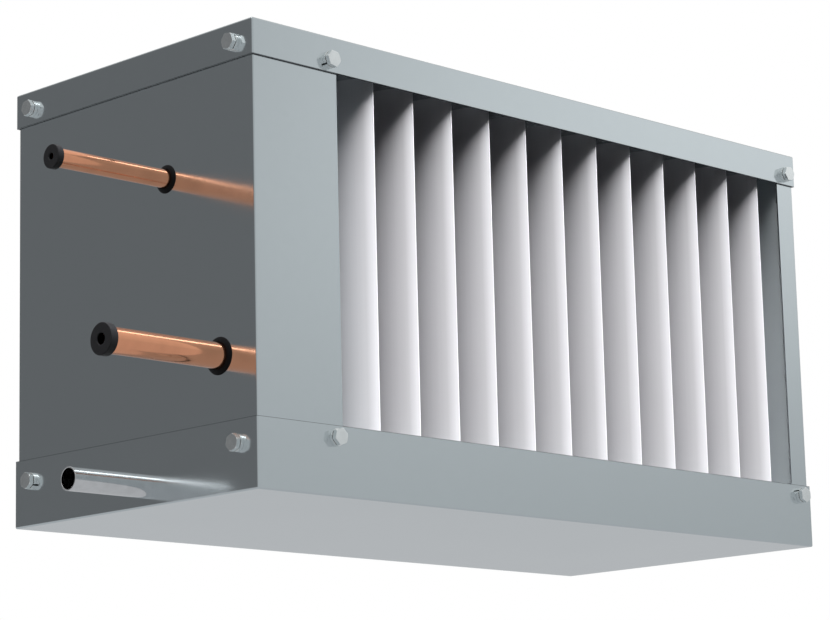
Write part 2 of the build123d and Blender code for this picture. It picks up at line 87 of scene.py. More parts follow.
# Surroundings that bright metal shows, by direction, and the plain fill on everything else
WORLD_FRONT, WORLD_REAR = -0.85, 0.55
CARD_LEFT, CARD_RIGHT = 0.58, 0.80
CARD_LOW, CARD_HIGH = 0.11, 0.27
WORLD_BRIGHT = (0.55, 0.57, 0.58, 1.0)
WORLD_CARD = (1.06, 1.08, 1.09, 1.0)
WORLD_DIM = (0.175, 0.178, 0.183, 1.0)
WORLD_TOP = (0.9, 0.9, 0.9, 1.0)
WORLD_GROUND = (0.55, 0.56, 0.575, 1.0)
WORLD_FILL = (0.03, 0.03, 0.03, 1.0)
FLOOR_CLEAR, FLOOR_GONE = 1.2, 2.6
FLOOR_GLOW = 0.45

# Key light: height above the horizon, turn to the right of the front, softness and power
SUN_ELEVATION = math.radians(70)
SUN_TURN = math.radians(6)
SUN_ANGLE = math.radians(50)
SUN_POWER = 17.5

# Fill from behind, for the rear opening
FILL_ELEVATION = math.radians(22)
FILL_TURN = math.radians(205)
FILL_ANGLE = math.radians(40)
FILL_POWER = 3.0

# Narrow lamp for the highlight along the pipes
STREAK_PLACE, STREAK_TARGET = (-2.4, -0.6, 2.3), (-0.42, -0.1, 0.2)
STREAK_SIZE, STREAK_POWER = (0.35, 1.6), 8.0


# Sizes and colours that a user would change
class CoilSizes(bpy.types.PropertyGroup):
    """Sizes of the pieces that are modelled here, in metres and radians."""

    blade_radius: bpy.props.FloatProperty(
        name="Blade radius", description="Radius of the blade's curve", default=0.073, unit="LENGTH"
    )
    blade_sheet: bpy.props.FloatProperty(
        name="Blade sheet", description="Thickness of the blade's web", default=0.0012, unit="LENGTH"
    )
    blade_bead: bpy.props.FloatProperty(
        name="Blade bead", description="Radius of the bead along both edges", default=0.0007, unit="LENGTH"
    )
    blade_outlet_angle: bpy.props.IntProperty(
        name="Outlet angle", description="Turn of the blade at its front edge, in degrees", default=38
    )
    blade_inlet_angle: bpy.props.IntProperty(
        name="Inlet angle", description="Turn of the blade at its rear edge, in degrees", default=23
    )
    fin_pitch: bpy.props.FloatProperty(
        name="Fin pitch", description="Distance from fin to fin", default=0.0025, unit="LENGTH"
    )
    fin_sheet: bpy.props.FloatProperty(
        name="Fin sheet", description="Thickness of a fin", default=0.0003, unit="LENGTH"
    )
    fin_ripple: bpy.props.FloatProperty(
        name="Fin ripple", description="Height of the ripples across a fin", default=0.0006, unit="LENGTH"
    )
    pipe_wall: bpy.props.FloatProperty(
        name="Pipe wall", description="Wall of the copper pipes", default=0.0011, unit="LENGTH"
    )
    drain_wall: bpy.props.FloatProperty(
        name="Drain wall", description="Wall of the drain pipe", default=0.0012, unit="LENGTH"
    )
    suction_cap_hole: bpy.props.FloatProperty(
        name="Suction cap hole", description="Radius of the vent in the larger cap", default=0.0048, unit="LENGTH"
    )
    liquid_cap_hole: bpy.props.FloatProperty(
        name="Liquid cap hole", description="Radius of the vent in the smaller cap", default=0.0028, unit="LENGTH"
    )
    cap_end_wall: bpy.props.FloatProperty(
        name="Cap end", description="Thickness of the caps' end walls", default=0.0016, unit="LENGTH"
    )
    grommet_rim: bpy.props.FloatProperty(
        name="Grommet rim", description="Thickness of a grommet's rim", default=0.002, unit="LENGTH"
    )
    grommet_neck: bpy.props.FloatProperty(
        name="Grommet neck", description="Rubber between the pipe and the sheet", default=0.002, unit="LENGTH"
    )
    bolt_flats: bpy.props.FloatProperty(
        name="Bolt flats", description="Width of a bolt head across its flats", default=0.013, unit="LENGTH"
    )
    bolt_head: bpy.props.FloatProperty(
        name="Bolt head", description="Height of a bolt head", default=0.0043, unit="LENGTH"
    )
    bolt_chamfer: bpy.props.FloatProperty(
        name="Bolt chamfer", description="Chamfer round the top of a bolt head", default=0.0006, unit="LENGTH"
    )
    bolt_thread_radius: bpy.props.FloatProperty(
        name="Bolt radius", description="Radius of a bolt's shank", default=0.00395, unit="LENGTH"
    )
    bolt_length: bpy.props.FloatProperty(
        name="Bolt length", description="Length of a bolt's shank", default=0.02, unit="LENGTH"
    )
    bolt_turn: bpy.props.FloatProperty(
        name="Bolt turn", description="Turn from one bolt to the next", default=math.radians(17), subtype="ANGLE"
    )
    washer_radius: bpy.props.FloatProperty(
        name="Washer radius", description="Outer radius of a spring washer", default=0.0074, unit="LENGTH"
    )
    washer_thickness: bpy.props.FloatProperty(
        name="Washer thickness", description="Thickness of a spring washer", default=0.003, unit="LENGTH"
    )
    washer_split: bpy.props.FloatProperty(
        name="Washer split", description="Gap between a spring washer's ends", default=0.0012, unit="LENGTH"
    )
    washer_turn: bpy.props.FloatProperty(
        name="Washer turn", description="Turn from one washer to the next", default=math.radians(73), subtype="ANGLE"
    )
    floor_drop: bpy.props.FloatProperty(
        name="Floor drop", description="Height of the coil above the floor", default=0.6, unit="LENGTH"
    )


class CoilColours(bpy.types.PropertyGroup):
    """Base colours of the finishes."""

    galvanised: bpy.props.FloatVectorProperty(
        name="Galvanised sheet", description="Casing sheets", default=(0.60, 0.65, 0.67), subtype="COLOR"
    )
    blade: bpy.props.FloatVectorProperty(
        name="Blades", description="Glossy drop eliminator blades", default=(0.62, 0.615, 0.64), subtype="COLOR"
    )
    copper: bpy.props.FloatVectorProperty(
        name="Copper", description="Bright drawn copper", default=(0.87, 0.39, 0.225), subtype="COLOR"
    )
    rubber: bpy.props.FloatVectorProperty(
        name="Rubber", description="Black rubber", default=(0.008, 0.008, 0.009), subtype="COLOR"
    )
    zinc: bpy.props.FloatVectorProperty(
        name="Zinc", description="Bright zinc on the bolts", default=(0.84, 0.87, 0.87), subtype="COLOR"
    )
    aluminium: bpy.props.FloatVectorProperty(
        name="Aluminium", description="Bare fins", default=(0.80, 0.81, 0.82), subtype="COLOR"
    )
    brass: bpy.props.FloatVectorProperty(
        name="Brass", description="Turned brass", default=(0.78, 0.60, 0.28), subtype="COLOR"
    )
    steel: bpy.props.FloatVectorProperty(
        name="Steel tube", description="Bright steel of the drain pipe", default=(0.66, 0.67, 0.68), subtype="COLOR"
    )
    floor: bpy.props.FloatVectorProperty(
        name="Floor", description="Plain pale floor", default=(0.07, 0.07, 0.07), subtype="COLOR"
    )


# Shader building blocks
def new_group(name, inputs, outputs):
    """Node group with float inputs (name, default) and outputs (name, socket type)."""
    group = bpy.data.node_groups.new(name, "ShaderNodeTree")
    for socket_name, default in inputs:
        socket = group.interface.new_socket(socket_name, in_out="INPUT", socket_type="NodeSocketFloat")
        socket.default_value = default
    for socket_name, socket_type in outputs:
        group.interface.new_socket(socket_name, in_out="OUTPUT", socket_type=socket_type)
    enter = group.nodes.new("NodeGroupInput")
    leave = group.nodes.new("NodeGroupOutput")
    return group, enter, leave


def grain_group():
    """Fine streaks along one axis, as rolling or drawing leaves them."""
    group, enter, leave = new_group(
        "Drawn grain",
        [("Along X", 1.0), ("Along Y", 1.0), ("Along Z", 1.0), ("Scale", 400.0)],
        [("Grain", "NodeSocketFloat")],
    )
    place = group.nodes.new("ShaderNodeTexCoord")
    stretch = group.nodes.new("ShaderNodeCombineXYZ")
    scaled = group.nodes.new("ShaderNodeVectorMath")
    scaled.operation = "MULTIPLY"
    noise = group.nodes.new("ShaderNodeTexNoise")
    noise.inputs["Detail"].default_value = 4.0
    links = group.links
    links.new(enter.outputs["Along X"], stretch.inputs["X"])
    links.new(enter.outputs["Along Y"], stretch.inputs["Y"])
    links.new(enter.outputs["Along Z"], stretch.inputs["Z"])
    links.new(place.outputs["Object"], scaled.inputs[0])
    links.new(stretch.outputs["Vector"], scaled.inputs[1])
    links.new(scaled.outputs["Vector"], noise.inputs["Vector"])
    links.new(enter.outputs["Scale"], noise.inputs["Scale"])
    links.new(noise.outputs["Fac"], leave.inputs["Grain"])
    return group


def mottle_group():
    """Soft cloudy patches, from 0 to 1."""
    group, enter, leave = new_group(
        "Soft mottling", [("Scale", 12.0), ("Low", 0.3), ("High", 0.7)], [("Mottle", "NodeSocketFloat")]
    )
    place = group.nodes.new("ShaderNodeTexCoord")
    noise = group.nodes.new("ShaderNodeTexNoise")
    noise.inputs["Detail"].default_value = 3.0
    spread = group.nodes.new("ShaderNodeMapRange")
    links = group.links
    links.new(place.outputs["Object"], noise.inputs["Vector"])
    links.new(enter.outputs["Scale"], noise.inputs["Scale"])
    links.new(noise.outputs["Fac"], spread.inputs["Value"])
    links.new(enter.outputs["Low"], spread.inputs["From Min"])
    links.new(enter.outputs["High"], spread.inputs["From Max"])
    links.new(spread.outputs["Result"], leave.inputs["Mottle"])
    return group


def spangle_group():
    """Small zinc crystals, each with a value of its own."""
    group, enter, leave = new_group("Zinc spangle", [("Scale", 90.0)], [("Spangle", "NodeSocketFloat")])
    place = group.nodes.new("ShaderNodeTexCoord")
    cells = group.nodes.new("ShaderNodeTexVoronoi")
    split = group.nodes.new("ShaderNodeSeparateColor")
    links = group.links
    links.new(place.outputs["Object"], cells.inputs["Vector"])
    links.new(enter.outputs["Scale"], cells.inputs["Scale"])
    links.new(cells.outputs["Color"], split.inputs["Color"])
    links.new(split.outputs["Red"], leave.inputs["Spangle"])
    return group


def gap_shade_group():
    """Thin level line of painted shade on a sheet, where the gap at a neighbour's cut edge lies in shade."""
    group, enter, leave = new_group("Seam", [("Level", 0.0), ("Half width", 0.0003)], [("Seam", "NodeSocketFloat")])
    place = group.nodes.new("ShaderNodeTexCoord")
    split = group.nodes.new("ShaderNodeSeparateXYZ")
    band = group.nodes.new("ShaderNodeMath")
    band.operation = "COMPARE"
    links = group.links
    links.new(place.outputs["Object"], split.inputs["Vector"])
    links.new(split.outputs["Z"], band.inputs[0])
    links.new(enter.outputs["Level"], band.inputs[1])
    links.new(enter.outputs["Half width"], band.inputs[2])
    links.new(band.outputs["Value"], leave.inputs["Seam"])
    return group


def edge_group():
    """Depth behind a front edge, from 0 on the edge to 1 at the given reach."""
    group, enter, leave = new_group("Edge depth", [("Front", 0.0), ("Reach", 0.01)], [("Depth", "NodeSocketFloat")])
    place = group.nodes.new("ShaderNodeTexCoord")
    split = group.nodes.new("ShaderNodeSeparateXYZ")
    behind = group.nodes.new("ShaderNodeMath")
    behind.operation = "SUBTRACT"
    share = group.nodes.new("ShaderNodeMath")
    share.operation = "DIVIDE"
    share.use_clamp = True
    links = group.links
    links.new(place.outputs["Object"], split.inputs["Vector"])
    links.new(split.outputs["Y"], behind.inputs[0])
    links.new(enter.outputs["Front"], behind.inputs[1])
    links.new(behind.outputs["Value"], share.inputs[0])
    links.new(enter.outputs["Reach"], share.inputs[1])
    links.new(share.outputs["Value"], leave.inputs["Depth"])
    return group


class Finish:
    """One material under construction, with short ways to add its nodes."""

    def __init__(self, name, colour, metallic, roughness):
        self.material = bpy.data.materials.new(name)
        self.material.use_nodes = True
        self.nodes = self.material.node_tree.nodes
        self.links = self.material.node_tree.links
        self.shader = self.nodes["Principled BSDF"]
        self.shader.inputs["Base Color"].default_value = (*colour, 1.0)
        self.shader.inputs["Metallic"].default_value = metallic
        self.shader.inputs["Roughness"].default_value = roughness
        self.material.diffuse_color = (*colour, 1.0)

    def effect(self, group, **values):
        """Place a shared effect with its own values."""
        node = self.nodes.new("ShaderNodeGroup")
        node.node_tree = group
        for socket_name, value in values.items():
            node.inputs[socket_name.replace("_", " ")].default_value = value
        return node.outputs[0]

    def spread(self, value, low, high):
        """Stretch a 0 to 1 value over a range."""
        node = self.nodes.new("ShaderNodeMapRange")
        node.inputs["To Min"].default_value = low
        node.inputs["To Max"].default_value = high
        self.links.new(value, node.inputs["Value"])
        return node.outputs["Result"]

    def tint(self, value, dark, light):
        """Blend two colours by a value into the base colour."""
        node = self.nodes.new("ShaderNodeMix")
        node.data_type = "RGBA"
        node.inputs["A"].default_value = (*dark, 1.0)
        node.inputs["B"].default_value = (*light, 1.0)
        self.links.new(value, node.inputs["Factor"])
        self.links.new(node.outputs["Result"], self.shader.inputs["Base Color"])
        return node.outputs["Result"]

    def roughen(self, value, low, high):
        self.links.new(self.spread(value, low, high), self.shader.inputs["Roughness"])

    def emboss(self, value, strength, distance):
        """Raise the surface by a value; several calls stack up."""
        node = self.nodes.new("ShaderNodeBump")
        node.inputs["Strength"].default_value = strength
        node.inputs["Distance"].default_value = distance
        self.links.new(value, node.inputs["Height"])
        normal = self.shader.inputs["Normal"]
        if normal.is_linked:
            self.links.new(normal.links[0].from_socket, node.inputs["Normal"])
        self.links.new(node.outputs["Normal"], normal)


def scaled(colour, factor):
    """A colour made darker or lighter."""
    return tuple(min(channel * factor, 1.0) for channel in colour)


def galvanised_finish(name, colour, groups, roughness, seam=None, metallic=1.0):
    """Smooth zinc-coated sheet: faint spangle, rolling grain, a little waviness and perhaps a thin line of painted
    shade at a gap.
    """
    finish = Finish(name, colour, metallic, roughness)
    spangle = finish.effect(groups["spangle"], Scale=160.0)
    clean = finish.tint(spangle, scaled(colour, 0.995), scaled(colour, 1.005))
    # Painted shade: a dark line on the sheet at the gap beside the cover's or the tray's cut edge
    if seam is not None:
        line = finish.effect(groups["seam"], Level=seam)
        shade = finish.nodes.new("ShaderNodeMix")
        shade.data_type = "RGBA"
        shade.inputs["B"].default_value = (*scaled(colour, GAP_PAINTED_SHADE), 1.0)
        finish.links.new(line, shade.inputs["Factor"])
        finish.links.new(clean, shade.inputs["A"])
        finish.links.new(shade.outputs["Result"], finish.shader.inputs["Base Color"])
    mottle = finish.effect(groups["mottle"], Scale=9.0)
    finish.roughen(mottle, roughness * 0.95, roughness * 1.05)
    wave = finish.effect(groups["mottle"], Scale=5.0)
    finish.emboss(wave, 0.006, 0.002)
    grain = finish.effect(groups["grain"], Along_X=1.0, Along_Y=1.0, Along_Z=0.04, Scale=1400.0)
    finish.emboss(grain, 0.01, 0.0002)
    return finish.material


def blade_finish(colour, groups):
    """Glossy extruded plastic with faint lines along its length, with painted light along its front edge and painted
    shade deeper in.
    """
    finish = Finish("Blade plastic", colour, 0.0, 0.35)
    lines = finish.effect(groups["grain"], Along_X=1.0, Along_Y=1.0, Along_Z=0.01, Scale=500.0)
    depth = finish.effect(groups["edge"], Front=BLADE_FRONT, Reach=BLADE_PAINTED_SHADE_REACH)
    # Painted light on the front edge and painted shade behind it: the colour falls from 1.36 to 0.74 of the blade
    # colour with depth
    painted_light_and_shade = finish.nodes.new("ShaderNodeValToRGB")
    stops = painted_light_and_shade.color_ramp.elements
    stops[0].color = (*scaled(colour, 1.36), 1.0)
    stops[1].color = (*scaled(colour, 0.74), 1.0)
    stops.new(0.25).color = (*scaled(colour, 0.93), 1.0)
    finish.links.new(depth, painted_light_and_shade.inputs["Fac"])
    streaks = finish.nodes.new("ShaderNodeMix")
    streaks.data_type = "RGBA"
    streaks.blend_type = "MULTIPLY"
    streaks.inputs["Factor"].default_value = 0.06
    finish.links.new(painted_light_and_shade.outputs["Color"], streaks.inputs["A"])
    finish.links.new(lines, streaks.inputs["B"])
    finish.links.new(streaks.outputs["Result"], finish.shader.inputs["Base Color"])
    mottle = finish.effect(groups["mottle"], Scale=20.0)
    finish.roughen(mottle, 0.32, 0.4)
    finish.emboss(lines, 0.04, 0.0002)
    return finish.material


def copper_finish(colour, groups):
    """Bright drawn copper with lengthwise streaks and light tarnish."""
    finish = Finish("Copper", colour, 1.0, 0.2)
    streaks = finish.effect(groups["grain"], Along_X=0.02, Along_Y=1.0, Along_Z=1.0, Scale=900.0)
    tarnish = finish.effect(groups["mottle"], Scale=45.0)
    finish.tint(tarnish, scaled(colour, 0.9), scaled(colour, 1.06))
    finish.roughen(streaks, 0.09, 0.17)
    finish.emboss(streaks, 0.06, 0.0002)
    return finish.material


def rubber_finish(name, colour, groups, shine):
    """Moulded black rubber with a fine skin."""
    finish = Finish(name, colour, 0.0, 0.5)
    finish.shader.inputs["Specular IOR Level"].default_value = shine
    skin = finish.effect(groups["grain"], Along_X=1.0, Along_Y=1.0, Along_Z=1.0, Scale=1500.0)
    finish.tint(skin, scaled(colour, 0.8), scaled(colour, 1.3))
    finish.roughen(skin, 0.4, 0.6)
    finish.emboss(skin, 0.15, 0.0002)
    return finish.material


def turned_metal_finish(name, colour, groups, roughness, metallic=1.0):
    """Plated or turned metal with faint handling marks."""
    finish = Finish(name, colour, metallic, roughness)
    marks = finish.effect(groups["grain"], Along_X=1.0, Along_Y=1.0, Along_Z=1.0, Scale=700.0)
    mottle = finish.effect(groups["mottle"], Scale=120.0)
    finish.tint(mottle, scaled(colour, 0.94), scaled(colour, 1.04))
    finish.roughen(marks, roughness * 0.7, roughness * 1.3)
    finish.emboss(marks, 0.04, 0.0002)
    return finish.material


def make_finishes(colours):
    """All finishes, by the name of the record's material slot."""
    groups = {"grain": grain_group(), "mottle": mottle_group(), "spangle": spangle_group(), "seam": gap_shade_group(), "edge": edge_group()}
    galvanised = tuple(colours.galvanised)
    return {
        "galvanised_sheet": galvanised_finish("Galvanised sheet", galvanised, groups, 0.13, COVER_EDGE),
        "tray_sheet": galvanised_finish("Tray sheet", galvanised, groups, 0.15, TRAY_EDGE),
        # Painted light: the inner sheets are a lighter copy of the galvanised colour, to lift them where they stand
        # in shade
        "inner_sheet": galvanised_finish("Inner sheet", scaled(galvanised, 1.3), groups, 0.25, metallic=0.5),
        # Painted shade: the level sheets are a darker copy of the galvanised colour, against the strong light on
        # their faces
        "level_sheet": galvanised_finish("Level inner sheet", scaled(galvanised, 0.95), groups, 0.25, metallic=0.9),
        "fin_aluminium": turned_metal_finish("Fin aluminium", tuple(colours.aluminium), groups, 0.3, 0.4),
        "copper": copper_finish(tuple(colours.copper), groups),
        "brass_body": turned_metal_finish("Turned brass", tuple(colours.brass), groups, 0.25),
        "blade_plastic": blade_finish(tuple(colours.blade), groups),
        "black_rubber": rubber_finish("Black rubber", tuple(colours.rubber), groups, 0.25),
        "grommet_rubber": rubber_finish("Grommet rubber", scaled(colours.rubber, 0.35), groups, 0.1),
        "drain_steel": turned_metal_finish("Steel tube", tuple(colours.steel), groups, 0.16),
        "bolt_zinc": turned_metal_finish("Bright zinc", tuple(colours.zinc), groups, 0.22),
    }


# Ways of working that several pieces share
def take_up(piece):
    """Leave edit mode, deselect everything and select this piece alone."""
    if bpy.context.object and bpy.context.object.mode != "OBJECT":
        bpy.ops.object.mode_set(mode="OBJECT")
    bpy.ops.object.select_all(action="DESELECT")
    piece.select_set(True)
    bpy.context.view_layer.objects.active = piece


def settle_place():
    """Put the active piece's place into its mesh."""
    bpy.ops.object.transform_apply(location=True, rotation=True, scale=True)


def open_mesh(piece):
    """Edit the piece with nothing selected."""
    take_up(piece)
    bpy.ops.object.mode_set(mode="EDIT")
    bpy.ops.mesh.select_mode(type="VERT")
    bpy.ops.mesh.select_all(action="DESELECT")


def pick(piece, test):
    """Select the vertices in edit mode whose place passes a test, and nothing else."""
    bpy.ops.mesh.select_all(action="DESELECT")
    mesh = bmesh.from_edit_mesh(piece.data)
    for vertex in mesh.verts:
        vertex.select_set(test(vertex.co))
    mesh.select_flush(True)
    bmesh.update_edit_mesh(piece.data)


def close_mesh():
    """Merge doubles, turn the faces outwards and leave edit mode."""
    bpy.ops.mesh.select_all(action="SELECT")
    bpy.ops.mesh.remove_doubles(threshold=MERGE_DISTANCE)
    bpy.ops.mesh.normals_make_consistent(inside=False)
    bpy.ops.object.mode_set(mode="OBJECT")


def add_modifier(kind, **settings):
    """Add a modifier to the active piece and apply it."""
    bpy.ops.object.modifier_add(type=kind)
    modifier = bpy.context.object.modifiers[-1]
    for setting, value in settings.items():
        setattr(modifier, setting, value)
    bpy.ops.object.modifier_apply(modifier=modifier.name)


def soften_edges(piece, width, segments=3):
    """Round the sharp edges and shade the piece smoothly between them."""
    take_up(piece)
    add_modifier("BEVEL", width=width, segments=segments, limit_method="ANGLE", angle_limit=SHARP_ANGLE)
    smooth(piece)


def smooth(piece):
    """Smooth shading that keeps flat faces flat."""
    take_up(piece)
    bpy.ops.object.shade_smooth_by_angle(angle=SMOOTH_ANGLE)
    add_modifier("WEIGHTED_NORMAL", keep_sharp=True)


def join_pieces(pieces):
    """Join several pieces into the first."""
    take_up(pieces[0])
    for piece in pieces:
        piece.select_set(True)
    bpy.ops.object.join()
    return bpy.context.object


def duplicate(piece):
    """Copy of a piece with its own mesh."""
    take_up(piece)
    bpy.ops.object.duplicate(linked=False)
    return bpy.context.object


def hand_over(piece, name, body, slot, *nodes, finish=None):
    """Name the finished piece, give it its finish and let it ride on its body."""
    take_up(piece)
    piece.name = name
    piece.data.name = name
    piece.data.materials.clear()
    piece.data.materials.append(bpy.data.materials[FINISH_NAMES[finish or slot]])
    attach(piece, body)
    if nodes:
        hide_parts(*nodes)
    return piece


def turned_ring(line, profile, segments):
    """Closed profile of (x, radius) points turned round a line along X, given as (y, z)."""
    first_x, first_radius = profile[0]
    bpy.ops.object.select_all(action="DESELECT")
    bpy.ops.mesh.primitive_circle_add(
        vertices=segments,
        radius=first_radius,
        location=(first_x, *line),
        rotation=(0, math.pi / 2, 0),
    )
    piece = bpy.context.object
    settle_place()
    open_mesh(piece)
    bpy.ops.mesh.select_all(action="SELECT")
    last_x, last_radius = first_x, first_radius
    for x, radius in profile[1:] + profile[:1]:
        bpy.ops.mesh.extrude_region_move(TRANSFORM_OT_translate={"value": (x - last_x, 0, 0)})
        growth = radius / last_radius
        bpy.ops.transform.resize(value=(1, growth, growth), center_override=(x, *line))
        last_x, last_radius = x, radius
    close_mesh()
    return piece


def line_of(node):
    """The Y and Z of a turned node's centre line."""
    low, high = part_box(node)
    return ((low.y + high.y) / 2, (low.z + high.z) / 2)


def outer_radius(node):
    """Radius of a turned node's widest part."""
    low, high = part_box(node)
    return (high.z - low.z) / 2


# The pieces
def turn_pipe(node, name, wall, slot, lip):
    """Straight pipe with softened lips."""
    low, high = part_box(node)
    radius = outer_radius(node)
    profile = [(low.x, radius), (high.x, radius), (high.x, radius - wall), (low.x, radius - wall)]
    pipe = turned_ring(line_of(node), profile, PIPE_SEGMENTS)
    soften_edges(pipe, lip)
    return hand_over(pipe, name, CASING, slot, node)


def turn_cap(node, name, body, pipe_node, end_wall, hole):
    """Moulded cap with a vent hole and a rounded rim."""
    low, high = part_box(node)
    radius = outer_radius(node)
    bore = outer_radius(pipe_node)
    profile = [
        (low.x, hole),
        (low.x, radius),
        (high.x, radius),
        (high.x, bore),
        (low.x + end_wall, bore),
        (low.x + end_wall, hole),
    ]
    cap = turned_ring(line_of(node), profile, PIPE_SEGMENTS)
    soften_edges(cap, CAP_ROUNDING, 4)
    return hand_over(cap, name, body, "black_rubber", node)


def turn_grommet(node, name, pipe_node, rim, groove_depth):
    """Grommet with a rim on each side of the sheet and a groove between them."""
    low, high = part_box(node)
    radius = outer_radius(node)
    bore = outer_radius(pipe_node)
    neck = bore + groove_depth
    lip = bore + groove_depth * 0.6
    profile = [
        (low.x, bore),
        (low.x, lip),
        (low.x + rim * 0.45, radius * 0.93),
        (low.x + rim, radius),
        (low.x + rim, neck),
        (high.x - rim, neck),
        (high.x - rim, radius),
        (high.x, radius),
        (high.x, bore),
    ]
    grommet = turned_ring(line_of(node), profile, PIPE_SEGMENTS)
    soften_edges(grommet, GROMMET_ROUNDING, 3)
    return hand_over(grommet, name, CASING, "black_rubber", node, finish="grommet_rubber")


def curved_blade(sizes):
    """First blade of the drop eliminator: a web spun along its arc, with a bead on each edge."""
    low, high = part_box("eliminator_blade_01")
    height = high.z - low.z
    middle = (high.z + low.z) / 2
    bead = sizes.blade_bead
    outlet = math.radians(sizes.blade_outlet_angle)
    inlet = math.radians(sizes.blade_inlet_angle)
    front_x, front_y = high.x - BLADE_EDGE, low.y + BLADE_EDGE
    centre_x = front_x + sizes.blade_radius * math.cos(outlet)
    centre_y = front_y + sizes.blade_radius * math.sin(outlet)
    bpy.ops.object.select_all(action="DESELECT")
    bpy.ops.mesh.primitive_plane_add(
        size=height,
        location=(front_x + height / 2, front_y, middle),
        rotation=(math.pi / 2, 0, 0),
    )
    web = bpy.context.object
    settle_place()
    open_mesh(web)
    pick(web, lambda place: place.x > front_x + height / 2)
    bpy.ops.mesh.delete(type="VERT")
    bpy.ops.mesh.select_all(action="SELECT")
    bpy.ops.mesh.spin(
        steps=BLADE_STEPS,
        angle=outlet + inlet,
        center=(centre_x, centre_y, middle),
        axis=(0, 0, 1),
    )
    close_mesh()
    add_modifier("SOLIDIFY", thickness=sizes.blade_sheet, offset=0)
    beads = []
    for angle in (-outlet, inlet):
        place = (
            centre_x - sizes.blade_radius * math.cos(angle),
            centre_y + sizes.blade_radius * math.sin(angle),
            middle,
        )
        bpy.ops.object.select_all(action="DESELECT")
        bpy.ops.mesh.primitive_cylinder_add(vertices=BEAD_SEGMENTS, radius=bead, depth=height, location=place)
        rod = bpy.context.object
        settle_place()
        add_modifier("BEVEL", width=bead / 4, segments=2, limit_method="ANGLE", angle_limit=SHARP_ANGLE)
        beads.append(rod)
    blade = join_pieces([web, *beads])
    smooth(blade)
    return blade


def rippled_fins(sizes):
    """Fin pack: one rippled fin, repeated along the coil."""
    low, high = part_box("fin_pack")
    depth, height = high.y - low.y, high.z - low.z
    bpy.ops.object.select_all(action="DESELECT")
    bpy.ops.mesh.primitive_grid_add(
        x_subdivisions=FIN_RIPPLES * 2,
        y_subdivisions=1,
        size=1,
        location=(low.x, (low.y + high.y) / 2, (low.z + high.z) / 2),
        rotation=(math.pi / 2, 0, math.pi / 2),
    )
    fins = bpy.context.object
    fins.scale = (depth, height, 1)
    settle_place()
    step = depth / (FIN_RIPPLES * 2)
    open_mesh(fins)
    pick(fins, lambda place: round((place.y - low.y) / step) % 2 == 1)
    bpy.ops.transform.translate(value=(sizes.fin_ripple, 0, 0))
    close_mesh()
    add_modifier("SOLIDIFY", thickness=sizes.fin_sheet, offset=0)
    count = int((high.x - low.x) / sizes.fin_pitch) + 1
    add_modifier(
        "ARRAY",
        count=count,
        use_relative_offset=False,
        use_constant_offset=True,
        constant_offset_displace=(sizes.fin_pitch, 0, 0),
    )
    return fins


def hexagon_bolt(sizes):
    """Bolt on the Z axis that stands on its washer: chamfered head and shank."""
    corner = sizes.bolt_flats / math.sqrt(3)
    base = sizes.washer_thickness + BOLT_GAP
    top = sizes.washer_thickness + sizes.bolt_head
    bpy.ops.object.select_all(action="DESELECT")
    bpy.ops.mesh.primitive_cylinder_add(
        vertices=6,
        radius=corner,
        depth=top - base,
        location=(0, 0, (base + top) / 2),
        rotation=(0, 0, math.pi / 6),
    )
    head = bpy.context.object
    settle_place()
    bpy.ops.object.select_all(action="DESELECT")
    bpy.ops.mesh.primitive_cylinder_add(
        vertices=96, radius=corner * 1.001, depth=sizes.bolt_head * 2, location=(0, 0, top - sizes.bolt_head)
    )
    crown = bpy.context.object
    settle_place()
    open_mesh(crown)
    pick(crown, lambda place: place.z > base)
    bpy.ops.mesh.bevel(offset=sizes.bolt_chamfer, segments=1)
    close_mesh()
    take_up(head)
    add_modifier("BOOLEAN", operation="INTERSECT", object=crown, solver="EXACT")
    bpy.data.objects.remove(crown)
    add_modifier("BEVEL", width=BEVEL_OF_BOLT, segments=2, limit_method="ANGLE", angle_limit=math.radians(20))
    bpy.ops.object.select_all(action="DESELECT")
    bpy.ops.mesh.primitive_cylinder_add(
        vertices=32,
        radius=sizes.bolt_thread_radius,
        depth=sizes.bolt_length,
        location=(0, 0, base - sizes.bolt_length / 2),
    )
    shank = bpy.context.object
    settle_place()
    add_modifier("BEVEL", width=0.0006, segments=1, limit_method="ANGLE", angle_limit=SHARP_ANGLE)
    bolt = join_pieces([head, shank])
    smooth(bolt)
    return bolt


def spring_washer(sizes):
    """Split washer on the Z axis, spun from its section."""
    width = sizes.washer_radius - sizes.bolt_thread_radius
    middle = (sizes.washer_radius + sizes.bolt_thread_radius) / 2
    split = sizes.washer_split / middle
    bpy.ops.object.select_all(action="DESELECT")
    bpy.ops.mesh.primitive_plane_add(
        size=1,
        location=(middle, 0, sizes.washer_thickness / 2),
        rotation=(math.pi / 2, 0, 0),
    )
    washer = bpy.context.object
    washer.scale = (width, sizes.washer_thickness, 1)
    settle_place()
    open_mesh(washer)
    bpy.ops.mesh.select_all(action="SELECT")
    bpy.ops.transform.rotate(value=split / 2, orient_axis="Z", center_override=(0, 0, 0))
    bpy.ops.mesh.spin(steps=48, angle=2 * math.pi - split, center=(0, 0, 0), axis=(0, 0, 1))
    close_mesh()
    soften_edges(washer, 0.00025, 2)
    return washer


